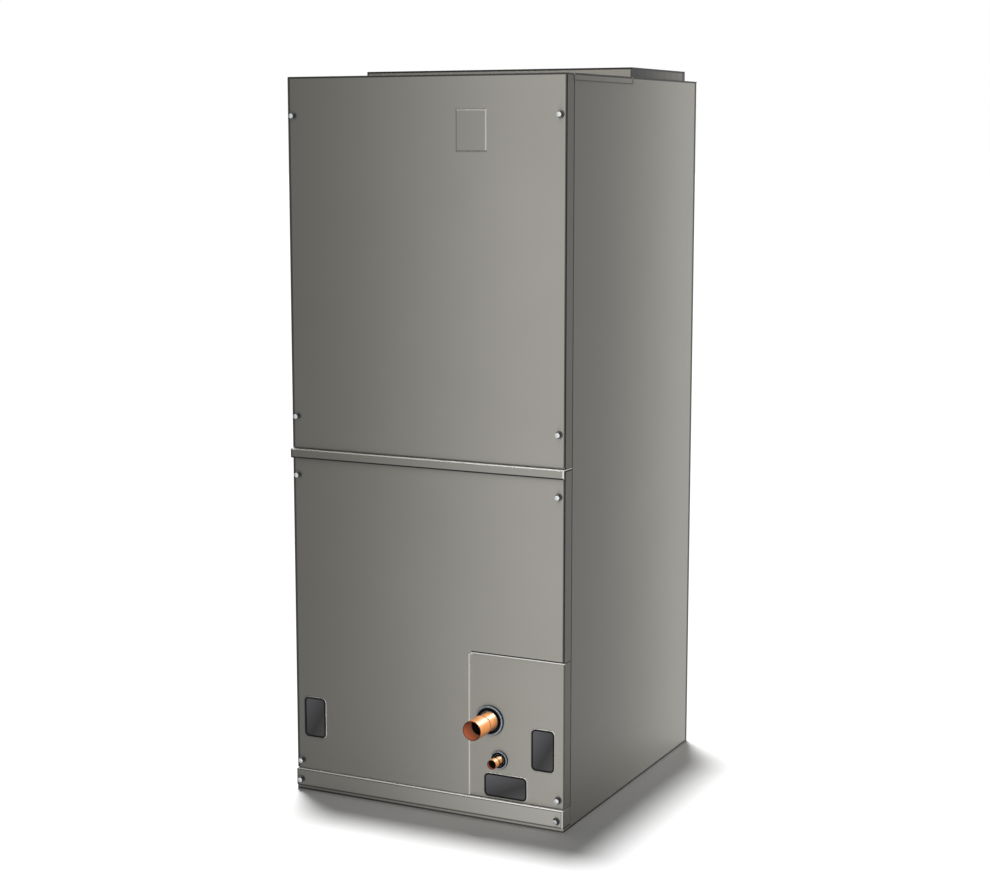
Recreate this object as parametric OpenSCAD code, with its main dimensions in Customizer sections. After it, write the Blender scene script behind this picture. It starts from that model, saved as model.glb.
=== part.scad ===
// Upright air handling unit: a sheet steel cabinet with screwed front panels,
// a supply duct collar on top, a return opening with a filter below, and
// copper refrigerant stubs at the lower right of the front.
// Origin: centre of the footprint at floor level. Front faces -Y. Millimetres.

/* [Cabinet] */
// Outer width of the cabinet
cabinet_w = 483; // [440:1:620]
// Outer depth from the face of the front panels to the back
cabinet_d = 534; // [520:1:640]
// Height of the cabinet without the duct collar
cabinet_h = 1160; // [1130:1:1400]
// Thickness of the sheet steel
sheet = 1.2; // [0.8:0.1:2]
// Depth of the front panel trays
panel_depth = 24; // [20:1:32]
// Width of the inward flanges on the side panels
jamb_w = 22; // [16:1:30]
// Fold radius at the corners of the side panels
side_fold = 3.2; // [2.2:0.1:6]
// Width of the lips at the back of the front panels
tray_lip = 12; // [8:1:15]
// Thickness of the foil faced insulation
liner_t = 12; // [6:1:16]
// Gap between neighbouring front panels
panel_gap = 1; // [0.5:0.1:2]
// Bend radius on the vertical edges of the front panels
panel_bend = 2; // [1.3:0.1:4]

/* [Front rails and doors] */
// Height of the top of the centre rail above the floor
rail_top = 571; // [520:1:580]
// Thickness of the centre rail
rail_t = 2; // [1.2:0.1:3]
// Fold radius at the front of the centre rail
rail_fold = 3; // [2.2:0.1:5]
// Height of the lip that hangs from the centre rail
rail_lip = 15; // [8:0.5:25]
// How far the centre rail stands proud of the front panels
rail_proud = 6; // [3:0.5:10]
// Depth of the centre rail behind the front panels
rail_web = 38; // [25:1:50]
// Height of the base frame
base_h = 8; // [5:0.5:12]
// Height of the filter door
door_h = 28; // [26:1:50]
// How far the filter door stands proud of the front panels
door_proud = 3.3; // [1.5:0.1:6]
// Corner radius on the top corners of the filter door
door_corner = 3; // [1:0.5:8]
// Width of the refrigerant line panel
line_panel_w = 163.5; // [150:0.5:200]
// Height of the top of the line panel above the floor
line_panel_top = 270; // [240:0.5:320]
// How far the line panel lies behind the face of the lower panel
line_recess = 3; // [2:0.5:6]
// How far the line panel reaches behind the lower panel
line_lap = 8; // [5:1:15]
// Corner radius on the notch for the line panel
line_corner = 7; // [3:0.5:15]

/* [Cover plates] */
// Width of the upright drain covers
drain_cover_w = 37; // [30:0.5:45]
// Height of the upright drain covers
drain_cover_h = 64.5; // [50:0.5:80]
// Height of the middle of the upright drain covers above the floor
drain_cover_z = 126; // [115:0.5:140]
// Distance of the upright drain covers from the cabinet's edge
drain_cover_edge = 18; // [14:0.5:24]
// Width of the lower drain cover
low_cover_w = 71.5; // [60:0.5:80]
// Height of the lower drain cover
low_cover_h = 35.5; // [26:0.5:36]
// Height of the middle of the lower drain cover above the floor
low_cover_z = 58.5; // [56:0.5:64]
// Distance of the lower drain cover's middle from the right edge
low_cover_edge = 101; // [95:0.5:112]
// Corner radius of the drain covers
cover_corner = 6; // [3:0.5:10]
// Thickness of the drain covers' face
cover_t = 2.4; // [1.5:0.1:4]
// Width of the raised rim around each drain cover
rim_w = 1.8; // [1:0.1:3]
// Height of the raised rim around each drain cover
rim_h = 1.6; // [1:0.1:2.5]
// Depth of the snap wall behind each drain cover
plug_depth = 9; // [6:0.5:14]
// Width of the breaker cover on the upper panel
breaker_w = 52; // [40:0.5:70]
// Height of the breaker cover
breaker_h = 63; // [50:0.5:90]
// Thickness of the breaker cover
breaker_t = 2.2; // [1.5:0.1:4]
// Distance of the breaker cover's right edge from the cabinet's right edge
breaker_edge = 132; // [110:1:150]
// Distance of the breaker cover's top below the cabinet's top
breaker_drop = 52; // [40:1:80]

/* [Refrigerant stubs] */
// Outer diameter of the suction tube
suction_od = 28.6; // [22:0.1:32]
// Distance of the suction tube from the right edge
suction_edge = 128; // [122:0.5:130]
// Height of the suction tube above the floor
suction_z = 163; // [160:0.5:180]
// Length of the suction stub outside the line panel
suction_out = 64; // [55:0.5:80]
// Length of the socket at the end of the suction stub
suction_socket = 35; // [30:0.5:45]
// Outer diameter of the suction grommet
suction_grommet_d = 49; // [44:0.5:54]
// Outer diameter of the liquid tube
liquid_od = 12.7; // [9:0.1:14]
// Distance of the liquid tube from the right edge
liquid_edge = 111; // [108:0.5:116]
// Height of the liquid tube above the floor
liquid_z = 101.5; // [100:0.5:108]
// Length of the liquid stub outside the line panel
liquid_out = 30; // [26:0.5:40]
// Length of the socket at the end of the liquid stub
liquid_socket = 14; // [12:0.5:20]
// Outer diameter of the liquid grommet
liquid_grommet_d = 29; // [25:0.5:32]
// Wall of the copper tubes
tube_wall = 1.3; // [0.8:0.1:2]
// Clearance between a socket and the tube that goes into it, on the diameter
socket_clearance = 0.2; // [0.1:0.05:0.4]
// Length of the stubs inside the cabinet
stub_in = 40; // [30:1:60]
// Height of the grommets' outer bead
grommet_bead = 5; // [4:0.5:7]

/* [Supply outlet] */
// Height of the duct collar above the cabinet
collar_h = 15.2; // [12:0.1:30]
// Depth of the collar's skirt inside the cabinet
collar_skirt = 20; // [15:1:40]
// Distance from the collar to the back of the cabinet
collar_back = 55; // [45:1:65]
// Depth of the collar from front to back
collar_d = 230; // [210:1:235]
// Height of the lips of the top cover that lap over the sides
cover_lip = 11; // [6:0.5:20]
// Depth of the plenum from the cabinet's top to the blower deck
plenum_d = 185; // [150:1:220]
// Height of the deck's turned down flanges
deck_flange = 18; // [10:1:25]

/* [Blower] */
// Outer diameter of the blower wheel
wheel_d = 254; // [240:1:260]
// Width of the blower wheel
wheel_w = 212; // [204:1:226]
// Radial depth of the blades
blade_depth = 20; // [14:0.5:24]
// Number of blades
blade_count = 36; // [24:1:40]
// Clearance between the wheel and the cutoff
cutoff_gap = 11; // [8:0.5:16]
// Growth of the scroll from the cutoff to the outlet
scroll_growth = 84; // [70:1:90]
// Clearance between the wheel and each cheek of the housing
cheek_gap = 8; // [4:0.5:12]
// Height of the blower neck above the deck
neck_h = 12; // [8:0.5:20]
// Radius of the rolled inlet rings
inlet_roll = 12; // [8:0.5:14]
// Diameter of the motor
motor_d = 140; // [110:1:150]
// Length of the motor
motor_l = 108; // [80:1:110]
// Diameter of the motor shaft
shaft_d = 12.7; // [10:0.1:16]
// Running clearance around the shaft, on the radius
shaft_clearance = 0.05; // [0.02:0.01:0.1]

/* [Return inlet] */
// Width of the base frame around the return opening
return_margin = 45; // [35:1:70]
// Thickness of the filter
filter_t = 20; // [16:1:24]
// Width of the filter's border
filter_border = 24; // [15:1:30]
// Clearance around the filter
filter_clearance = 3; // [1:0.5:6]
// Thickness of the filter's card border
card_t = 1.5; // [0.8:0.1:2.5]
// Spacing of the filter's pleats
pleat_pitch = 16; // [12:0.5:25]
// Thickness of the filter's medium
medium_t = 1.6; // [1:0.1:3]

/* [Hidden] */
$fn = 64;

half_w = cabinet_w / 2;
front_y = -cabinet_d / 2;
back_y = cabinet_d / 2;
jamb_y = front_y + panel_depth;
inner_w = cabinet_w - 2 * sheet;
back_sheet_y = back_y - 2 * sheet;
// What lies inside the cabinet stays clear of the folds in the corners of the side panels
inner_front_y = jamb_y + side_fold;
inner_back_y = back_y - side_fold;
back_w = cabinet_w - 2 * side_fold;
door_top = base_h + door_h;
lower_bottom = door_top + panel_gap;
lower_top = rail_top - rail_t - 2 * panel_gap;
upper_bottom = rail_top + panel_gap;
line_x = half_w - line_panel_w;
line_y = front_y + line_recess;
collar_y1 = back_y - collar_back;
collar_y0 = collar_y1 - collar_d;
deck_top = cabinet_h - plenum_d;
skirt_bottom = cabinet_h - collar_skirt;
liner_back_y = back_sheet_y - liner_t;

suction_x = half_w - suction_edge;
liquid_x = half_w - liquid_edge;
drain_left_x = -half_w + drain_cover_edge + drain_cover_w / 2;
drain_right_x = -drain_left_x;
low_cover_x = half_w - low_cover_edge;

wheel_r = wheel_d / 2;
ring_r = wheel_r - blade_depth;
eye_r = ring_r - 3;
cutoff_angle = 80;
scroll_r0 = wheel_r + cutoff_gap;
scroll_r1 = scroll_r0 + scroll_growth;
scroll_step = 10;
throat_front = scroll_r0 * cos(cutoff_angle);
throat_d = scroll_r1 - throat_front;
// The throat stands centred under the collar
blower_y = (collar_y0 + collar_y1) / 2 - throat_front - throat_d / 2;
cutoff_drop = 30;
blower_z = deck_top - cutoff_drop - scroll_r0;
housing_w = wheel_w + 2 * cheek_gap;
neck_z = deck_top + neck_h - blower_z;
wheel_disc_t = 2;
wheel_ring_t = 5;
hub_d = 30;
hub_l = 36;
bracket_t = 4;
bracket_arm_w = 22;
bracket_foot = 26;
bracket_x = -housing_w / 2 - sheet - bracket_t;
end_bell = 14;
motor_x = bracket_x - end_bell - 2;
neck_flange = 15;

steel_paint = "#8a8882";
galvanised = "#a9acae";
copper = "#c98850";
black_rubber = "#1d1d1f";
dark_plastic = "#434345";
foil = "#c3c6c8";
card = "#b9a789";
medium_white = "#e4e6e4";

// A box given by its low and high corners
module box(low, high) {
  translate(low) cube(high - low);
}

// A rectangle of size w by h about the origin, with round corners
module rounded_rect(w, h, r) {
  square([w - 2 * r, h], center = true);
  square([w, h - 2 * r], center = true);
  for (x = [-1, 1], y = [-1, 1])
    translate([x * (w / 2 - r), y * (h / 2 - r)]) circle(r);
}

// Stands a flat outline drawn in X and Z upright: its face lies at y and it runs back by depth
module upright(y, depth) {
  translate([0, y + depth, 0]) rotate([90, 0, 0]) linear_extrude(depth) children();
}

// Turns a profile of radius and length about an axis that leaves the front at x and z
module turned_from_front(x, z, y) {
  translate([x, y, z]) rotate([90, 0, 0]) rotate_extrude() children();
}

// Quarter ring of a fold about the origin, towards the side given by the signs of x and y
module fold(r, t, x, y) {
  intersection() {
    difference() {
      circle(r);
      circle(max(r - t, 0.1));
    }
    translate([min(x, 0) * r, min(y, 0) * r]) square(r);
  }
}

// Plan of a front tray seen from above: round at its two front edges
module tray_plan(y0, depth, inset) {
  bend = max(panel_bend - inset, 0.1);
  w = cabinet_w - 2 * inset;
  translate([-w / 2 + bend, y0 + inset]) square([w - 2 * bend, depth - inset]);
  translate([-w / 2, y0 + inset + bend]) square([w, depth - inset - bend]);
  for (side = [-1, 1])
    translate([side * (w / 2 - bend), y0 + inset + bend]) circle(bend);
}

// A folded front tray between two heights, open at the back between its side lips
module front_tray(y0, depth, z0, z1) {
  y1 = y0 + depth;
  difference() {
    translate([0, 0, z0]) linear_extrude(z1 - z0) tray_plan(y0, depth, 0);
    translate([0, 0, z0 + sheet]) linear_extrude(z1 - z0 - 2 * sheet) {
      tray_plan(y0, depth - sheet, sheet);
      translate([-half_w + tray_lip, y1 - 2 * sheet]) square([cabinet_w - 2 * tray_lip, 3 * sheet]);
    }
  }
}

// Cabinet

// Plan of the right side panel: the sheet with a flange folded in at each end
module side_plan() {
  flange = jamb_w - side_fold;
  translate([half_w - sheet, jamb_y + side_fold])
    square([sheet, back_y - jamb_y - 2 * side_fold]);
  for (y = [jamb_y, back_y - sheet])
    translate([half_w - jamb_w, y]) square([flange, sheet]);
  translate([half_w - side_fold, jamb_y + side_fold]) fold(side_fold, sheet, 1, -1);
  translate([half_w - side_fold, back_y - side_fold]) fold(side_fold, sheet, 1, 1);
}

// A side panel: folded above the filter slot, with a plain front edge beside the slot
module side_panel(side) {
  cover_z = cabinet_h - sheet;
  mirror([side < 0 ? 1 : 0, 0, 0]) {
    translate([0, 0, door_top]) linear_extrude(cover_z - door_top) side_plan();
    linear_extrude(door_top + 1) intersection() {
      side_plan();
      translate([half_w - jamb_w, jamb_y + side_fold]) square([jamb_w, cabinet_d]);
    }
    box([half_w - sheet, jamb_y, 0], [half_w, back_y - side_fold, door_top]);
    box([half_w - sheet, collar_y0, 0], [half_w, collar_y1, cabinet_h]);
  }
}

module left_side_panel() {
  color(steel_paint) side_panel(-1);
}

module right_side_panel() {
  color(steel_paint) side_panel(1);
}

// Back sheet with its top folded forward to the collar
module back_panel() {
  color(steel_paint) {
    box([-back_w / 2, back_sheet_y, 0], [back_w / 2, back_y - sheet, cabinet_h]);
    box([-half_w, collar_y1, cabinet_h - sheet], [half_w, back_y, cabinet_h]);
  }
}

// Top sheet in front of the collar, with a lip that laps over each side
module top_cover() {
  lip_x = half_w + sheet;
  color(steel_paint) {
    box([-lip_x, jamb_y, cabinet_h - sheet], [lip_x, collar_y0, cabinet_h]);
    for (side = [0, 1])
      mirror([side, 0, 0])
        box([half_w, jamb_y, cabinet_h - cover_lip], [lip_x, collar_y0, cabinet_h]);
  }
}

// Duct collar: a sleeve between the side panels that stands above the cabinet
module supply_collar() {
  color(steel_paint) difference() {
    box([-inner_w / 2, collar_y0, skirt_bottom], [inner_w / 2, collar_y1, cabinet_h + collar_h]);
    box(
      [-inner_w / 2 + sheet, collar_y0 + sheet, skirt_bottom - 1],
      [inner_w / 2 - sheet, collar_y1 - sheet, cabinet_h + collar_h + 1]
    );
  }
}

// Front panels

// Outline of a drain cover at its place on the front
module cover_outline(x, z, w, h, grow) {
  translate([x, z]) rounded_rect(w + 2 * grow, h + 2 * grow, cover_corner + grow);
}

// Raised rim pressed into a panel around a drain cover
module cover_rim(x, z, w, h, face_y) {
  upright(face_y - rim_h, rim_h + sheet) difference() {
    cover_outline(x, z, w, h, rim_w);
    cover_outline(x, z, w, h, 0);
  }
}

// Opening in a panel behind a drain cover
module cover_opening(x, z, w, h, face_y) {
  upright(face_y - rim_h - 1, rim_h + sheet + 2) cover_outline(x, z, w, h, 0);
}

module upper_front_panel() {
  color(steel_paint) front_tray(front_y, panel_depth, upper_bottom, cabinet_h);
}

// Notch for the line panel, larger by grow at its left and top, as far right as reach
module line_notch(grow, reach) {
  x0 = line_x - grow;
  top = line_panel_top + grow;
  r = line_corner;
  translate([x0, 0]) square([reach - x0, top - r]);
  translate([x0 + r, 0]) square([reach - x0 - r, top]);
  translate([x0 + r, top - r]) circle(r);
}

// Tray with a notch at the lower right for the line panel, and a rim for the left drain cover
module lower_front_panel() {
  beyond = half_w + 1;
  color(steel_paint) {
    difference() {
      front_tray(front_y, panel_depth, lower_bottom, lower_top);
      upright(front_y - 1, panel_depth + 2) line_notch(0, beyond);
      upright(line_y, panel_depth) line_notch(line_lap + panel_gap, half_w - sheet);
      cover_opening(drain_left_x, drain_cover_z, drain_cover_w, drain_cover_h, front_y);
    }
    // turned edge of the notch, back to the line panel
    intersection() {
      upright(front_y, line_recess) difference() {
        line_notch(sheet, half_w - panel_bend);
        line_notch(0, beyond);
      }
      box([line_x - line_lap, front_y, lower_bottom], [beyond, line_y, cabinet_h]);
    }
    cover_rim(drain_left_x, drain_cover_z, drain_cover_w, drain_cover_h, front_y);
  }
}

// Plate behind the notch with flanges back to the cabinet, holes for two grommets
// and rims for two drain covers
module line_panel() {
  color(steel_paint) {
    difference() {
      union() {
        upright(line_y, sheet) difference() {
          line_notch(line_lap, half_w - sheet - panel_gap);
          translate([line_x - 2 * line_lap, 0]) square([line_panel_w + 2 * line_lap, lower_bottom]);
        }
        box([line_x, line_y, lower_bottom], [half_w, line_y + sheet, line_panel_top - panel_gap]);
        box([half_w - sheet, line_y, lower_bottom], [half_w, jamb_y, line_panel_top - panel_gap]);
        box([half_w - tray_lip, jamb_y - sheet, lower_bottom], [half_w, jamb_y, line_panel_top - panel_gap]);
        box([line_x, line_y, lower_bottom], [half_w, jamb_y, lower_bottom + sheet]);
      }
      grommet_hole(suction_x, suction_z, suction_grommet_d);
      grommet_hole(liquid_x, liquid_z, liquid_grommet_d);
      cover_opening(drain_right_x, drain_cover_z, drain_cover_w, drain_cover_h, line_y);
      cover_opening(low_cover_x, low_cover_z, low_cover_w, low_cover_h, line_y);
    }
    cover_rim(drain_right_x, drain_cover_z, drain_cover_w, drain_cover_h, line_y);
    cover_rim(low_cover_x, low_cover_z, low_cover_w, low_cover_h, line_y);
  }
}

// Section of the centre rail in Y and Z: a web, and a lip folded down at its front
module rail_section(web_back) {
  lip_y = front_y - rail_proud;
  translate([lip_y + rail_fold, rail_top - rail_t]) square([web_back - lip_y - rail_fold, rail_t]);
  translate([lip_y, rail_top - rail_lip]) square([rail_t, rail_lip - rail_fold]);
  translate([lip_y + rail_fold, rail_top - rail_fold]) fold(rail_fold, rail_t, -1, 1);
}

// Folded cross member between the front panels, its lip over the lower one and its web
// between the flanges of the side panels
module centre_rail() {
  web_half = half_w - jamb_w - panel_gap;
  web_back = jamb_y + rail_web;
  color(steel_paint) {
    translate([-half_w, 0, 0]) rotate([90, 0, 90]) linear_extrude(cabinet_w) rail_section(jamb_y);
    box([-web_half, jamb_y - 1, rail_top - rail_t], [web_half, web_back, rail_top]);
    box([-web_half, web_back - rail_t, rail_top - rail_web], [web_half, web_back, rail_top]);
  }
}

// Narrow tray that closes the filter slot
module filter_door() {
  y0 = front_y - door_proud;
  color(steel_paint) intersection() {
    front_tray(y0, panel_depth + door_proud, base_h, door_top);
    upright(y0 - 1, panel_depth + door_proud + 2)
      translate([0, door_top - door_h]) rounded_rect(cabinet_w, 2 * door_h, door_corner);
  }
}

// Pressed ring around the return opening, open on top, with a sill under the filter door
module base_frame() {
  open_low = [-half_w + return_margin, jamb_y + return_margin / 2];
  open_high = [half_w - return_margin, inner_back_y - return_margin];
  wall = [sheet, sheet];
  color(steel_paint) difference() {
    union() {
      box([-half_w, front_y, 0], [half_w, jamb_y, base_h]);
      box([-inner_w / 2, jamb_y - 1, 0], [inner_w / 2, inner_back_y, base_h]);
    }
    box([each open_low, -1], [each open_high, base_h + 1]);
    difference() {
      box([-inner_w / 2 + sheet, front_y + sheet, sheet], [inner_w / 2 - sheet, inner_back_y - sheet, base_h + 1]);
      box([each (open_low - wall), 0], [each (open_high + wall), base_h + 2]);
    }
  }
}

// Half of the plate's cross section, chamfered at its outer edge
module chamfered_plate(w, depth) {
  chamfer = depth / 2;
  polygon([
    [-w / 2, 0], [w / 2, 0], [w / 2, -depth + chamfer], [w / 2 - chamfer, -depth],
    [-w / 2 + chamfer, -depth], [-w / 2, -depth + chamfer]
  ]);
}

// Plain cover plate over the breaker opening, chamfered on all four sides
module breaker_cover() {
  x = half_w - breaker_edge - breaker_w / 2;
  z = cabinet_h - breaker_drop - breaker_h / 2;
  color(steel_paint) translate([x, front_y, z]) intersection() {
    linear_extrude(breaker_h, center = true) chamfered_plate(breaker_w, breaker_t);
    rotate([0, 90, 0]) linear_extrude(breaker_w, center = true) chamfered_plate(breaker_h, breaker_t);
  }
}

// A plastic drain cover: its face inside the rim, and a snap wall behind it
module drain_cover(x, z, w, h, face_y) {
  fit = 0.3;
  wall = 2;
  proud = rim_h - 0.4;
  color(dark_plastic) difference() {
    upright(face_y - proud, proud + plug_depth) cover_outline(x, z, w, h, -fit);
    upright(face_y - proud + cover_t, proud + plug_depth) cover_outline(x, z, w, h, -fit - wall);
  }
}

module left_drain_cover() {
  drain_cover(drain_left_x, drain_cover_z, drain_cover_w, drain_cover_h, front_y);
}

module right_drain_cover() {
  drain_cover(drain_right_x, drain_cover_z, drain_cover_w, drain_cover_h, line_y);
}

module low_drain_cover() {
  drain_cover(low_cover_x, low_cover_z, low_cover_w, low_cover_h, line_y);
}

// Refrigerant stubs

groove_depth = 3;

module grommet_hole(x, z, d) {
  translate([x, line_y + sheet + 1, z]) rotate([90, 0, 0]) cylinder(d = d - 2 * groove_depth, h = sheet + 2);
}

// Rubber grommet: outer bead, groove for the sheet, inner bead and a lip that hugs the tube
module grommet(x, z, d, tube_d) {
  r = d / 2;
  bead_r = grommet_bead / 2;
  groove_r = r - groove_depth;
  lip_r = tube_d / 2;
  lip_out = grommet_bead * 0.7;
  color(black_rubber) turned_from_front(x, z, line_y) {
    // bead outside the sheet
    translate([r - bead_r, bead_r]) circle(bead_r);
    translate([groove_r - bead_r, 0]) square([bead_r + groove_depth - bead_r, grommet_bead * 0.9]);
    // web through the sheet and the bead behind it
    translate([lip_r, -sheet - bead_r]) square([groove_r - lip_r, sheet + 2 * bead_r]);
    translate([groove_r - bead_r, -sheet - 2 * bead_r]) square([2 * bead_r, 2 * bead_r]);
    // lip around the tube
    translate([lip_r, 0]) square([bead_r, lip_out]);
    translate([lip_r + bead_r / 2, lip_out]) circle(bead_r / 2);
  }
}

module suction_grommet() {
  grommet(suction_x, suction_z, suction_grommet_d, suction_od);
}

module liquid_grommet() {
  grommet(liquid_x, liquid_z, liquid_grommet_d, liquid_od);
}

// Copper stub: a tube with its end swaged out to a socket
module copper_stub(x, z, od, out, socket) {
  r = od / 2;
  bore_r = r - tube_wall;
  socket_bore = r + socket_clearance / 2;
  socket_r = socket_bore + tube_wall;
  taper = 2 * tube_wall;
  shoulder = out - socket;
  color(copper) turned_from_front(x, z, line_y) polygon([
    [bore_r, -stub_in], [r, -stub_in], [r, shoulder - taper], [socket_r, shoulder], [socket_r, out],
    [socket_bore, out], [socket_bore, shoulder + taper], [bore_r, shoulder]
  ]);
}

module suction_stub() {
  copper_stub(suction_x, suction_z, suction_od, suction_out, suction_socket);
}

module liquid_stub() {
  copper_stub(liquid_x, liquid_z, liquid_od, liquid_out, liquid_socket);
}

// Plenum under the collar

module plenum_bulkhead() {
  color(galvanised)
    box([-inner_w / 2, collar_y0, deck_top], [inner_w / 2, collar_y0 + sheet, skirt_bottom]);
}

module side_liner(side) {
  color(foil) mirror([side < 0 ? 1 : 0, 0, 0])
    box([inner_w / 2 - liner_t, collar_y0 + sheet, deck_top], [inner_w / 2, liner_back_y, skirt_bottom]);
}

module left_liner() {
  side_liner(-1);
}

module right_liner() {
  side_liner(1);
}

module back_liner() {
  color(foil) box([-back_w / 2, liner_back_y, deck_top], [back_w / 2, back_sheet_y, cabinet_h - sheet]);
}

// Shelf that carries the blower: turned down at its edges, open over the throat
module blower_deck() {
  low = [-inner_w / 2, inner_front_y];
  high = [inner_w / 2, inner_back_y];
  edge = [sheet, sheet];
  throat_low = [-housing_w / 2 - sheet, blower_y + throat_front - sheet];
  throat_high = [housing_w / 2 + sheet, blower_y + scroll_r1 + sheet];
  color(galvanised) difference() {
    box([each low, deck_top - deck_flange], [each high, deck_top]);
    box([each (low + edge), deck_top - deck_flange - 1], [each (high - edge), deck_top - sheet]);
    box([each throat_low, deck_top - deck_flange], [each throat_high, deck_top + 1]);
  }
}

// Blower

// Radius of the scroll at an angle, counted from the back and over the top
function scroll_r(angle) = scroll_r0 + scroll_growth * (angle - cutoff_angle) / (360 - cutoff_angle);

// Path of the housing about the wheel's axis, larger by grow: down the front of the neck to
// the cutoff, round the scroll and up the back of the neck
function scroll_path(grow) = [
  [throat_front - grow, neck_z],
  [throat_front - grow, sqrt(pow(scroll_r0 + grow, 2) - pow(throat_front - grow, 2))],
  for (angle = [cutoff_angle + scroll_step : scroll_step : 360])
    (scroll_r(angle) + grow) * [cos(angle), sin(angle)],
  [scroll_r1 + grow, neck_z]
];

function reversed(list) = [for (i = [len(list) - 1 : -1 : 0]) list[i]];

// Places a shape drawn in Y and Z at the wheel's axis, from x towards +X by width
module on_blower_axis(x, width) {
  translate([x, blower_y, blower_z]) rotate([90, 0, 90]) linear_extrude(width) children();
}

// Wrapped sheet of the housing, from the cutoff round to the outlet
module blower_scroll() {
  color(galvanised) on_blower_axis(-housing_w / 2, housing_w)
    polygon([each scroll_path(sheet), each reversed(scroll_path(0))]);
}

// Cheek of the housing with a rolled inlet ring and a flange that rests on the deck
module cheek(side) {
  roll_r = eye_r + inlet_roll;
  x0 = housing_w / 2;
  color(galvanised) mirror([side < 0 ? 1 : 0, 0, 0]) {
    difference() {
      on_blower_axis(x0, sheet) polygon(scroll_path(sheet));
      on_blower_axis(0, x0 + 2 * sheet) circle(roll_r - sheet / 2);
    }
    translate([x0 + sheet, blower_y, blower_z]) rotate([0, 90, 0]) rotate_extrude() intersection() {
      translate([roll_r, -inlet_roll]) difference() {
        circle(inlet_roll);
        circle(inlet_roll - sheet);
      }
      translate([eye_r, -inlet_roll]) square(inlet_roll);
    }
    box(
      [x0, blower_y + throat_front, deck_top],
      [x0 + sheet + neck_flange, blower_y + scroll_r1, deck_top + sheet]
    );
  }
}

module blower_left_cheek() {
  cheek(-1);
}

module blower_right_cheek() {
  cheek(1);
}

// One forward curved blade: an arc between two circles, as a strip of even thickness
module blade() {
  blade_t = 1.2;
  arc_r = blade_depth * 0.8;
  steps = 3;
  sweep = 100;
  points = [for (i = [0 : steps]) let (a = -60 + sweep * i / steps) [cos(a), sin(a)]];
  centre = [wheel_r - blade_depth / 2 - arc_r * cos(-10), 0];
  translate(centre) polygon([
    each [for (p = points) arc_r * p],
    each [for (i = [steps : -1 : 0]) (arc_r - blade_t) * points[i]]
  ]);
}

// Double inlet wheel: blades between two rings, a middle disc and a hub
module blower_wheel() {
  color(galvanised) difference() {
    union() {
      on_blower_axis(-wheel_w / 2, wheel_w)
        for (i = [0 : blade_count - 1])
          rotate(360 * i / blade_count) blade();
      for (x = [-wheel_w / 2, wheel_w / 2 - wheel_ring_t])
        on_blower_axis(x, wheel_ring_t) difference() {
          circle(wheel_r);
          circle(ring_r);
        }
      on_blower_axis(-wheel_disc_t / 2, wheel_disc_t) circle(wheel_r);
      on_blower_axis(-hub_l / 2, hub_l) circle(d = hub_d);
    }
    on_blower_axis(-hub_l, 2 * hub_l) circle(d = shaft_d + 2 * shaft_clearance);
  }
}

// Motor in the left inlet, with its shaft through the wheel's hub
module blower_motor() {
  color(galvanised) {
    on_blower_axis(motor_x + end_bell, motor_l - 2 * end_bell) circle(d = motor_d);
    on_blower_axis(motor_x, motor_l) circle(d = motor_d - end_bell);
    on_blower_axis(motor_x + motor_l - 1, hub_l / 2 + 6 - motor_x - motor_l) circle(d = shaft_d);
  }
}

// Band around the motor with three arms to the left cheek
module motor_bracket() {
  band_r = motor_d / 2;
  color(galvanised) on_blower_axis(bracket_x, bracket_t) {
    difference() {
      circle(band_r + bracket_t);
      circle(band_r);
    }
    for (angle = [90, 210, 330])
      rotate(angle) translate([band_r + bracket_t / 2, -bracket_arm_w / 2])
        square([eye_r + bracket_foot - band_r, bracket_arm_w]);
  }
}

// Filter

filter_low = [-inner_w / 2 + filter_clearance, jamb_y + filter_clearance];
filter_high = [inner_w / 2 - filter_clearance, inner_back_y - filter_clearance];

// Card channel around the filter's medium
module filter_border_frame() {
  rim = [filter_border, filter_border];
  wall = [card_t, card_t];
  color(card) difference() {
    box([each filter_low, base_h], [each filter_high, base_h + filter_t]);
    box([each (filter_low + rim), base_h - 1], [each (filter_high - rim), base_h + filter_t + 1]);
    box(
      [each (filter_low + wall), base_h + card_t],
      [each (filter_high - wall), base_h + filter_t - card_t]
    );
  }
}

// Pleated medium: a zigzag band across the filter, held in the card channel
module filter_medium() {
  margin = 0.3;
  z0 = base_h + card_t + margin;
  z1 = base_h + filter_t - card_t - margin;
  x0 = filter_low[0] + card_t + margin;
  x1 = filter_high[0] - card_t - margin;
  y0 = filter_low[1] + card_t + margin;
  y1 = filter_high[1] - card_t - margin;
  folds = 2 * floor((y1 - y0) / pleat_pitch);
  step = (y1 - y0) / folds;
  rise = z1 - z0 - medium_t;
  zigzag = [for (i = [0 : folds]) [y0 + i * step, z0 + (i % 2) * rise]];
  color(medium_white) translate([x0, 0, 0]) rotate([90, 0, 90]) linear_extrude(x1 - x0)
    polygon([
      each zigzag,
      each [for (i = [folds : -1 : 0]) zigzag[i] + [0, medium_t]]
    ]);
}

left_side_panel();
right_side_panel();
back_panel();
top_cover();
supply_collar();
upper_front_panel();
lower_front_panel();
line_panel();
centre_rail();
filter_door();
base_frame();
breaker_cover();
left_drain_cover();
right_drain_cover();
low_drain_cover();
suction_grommet();
liquid_grommet();
suction_stub();
liquid_stub();
plenum_bulkhead();
left_liner();
right_liner();
back_liner();
blower_deck();
blower_scroll();
blower_left_cheek();
blower_right_cheek();
blower_wheel();
blower_motor();
motor_bracket();
filter_border_frame();  // filter_border
filter_medium();
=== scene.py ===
# %% [markdown]
# # An upright air handling unit
# This unit stands in a plant room and blows air through a building's ducts.
# It is a tall box of folded sheet steel with a grey powder coat.
# The CAD model already gives every piece its place, so this lesson dresses those pieces:
# it rounds the edges that catch the light, makes each finish, and adds the bezels and the screws.

# %% Load the frame
import math

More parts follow.
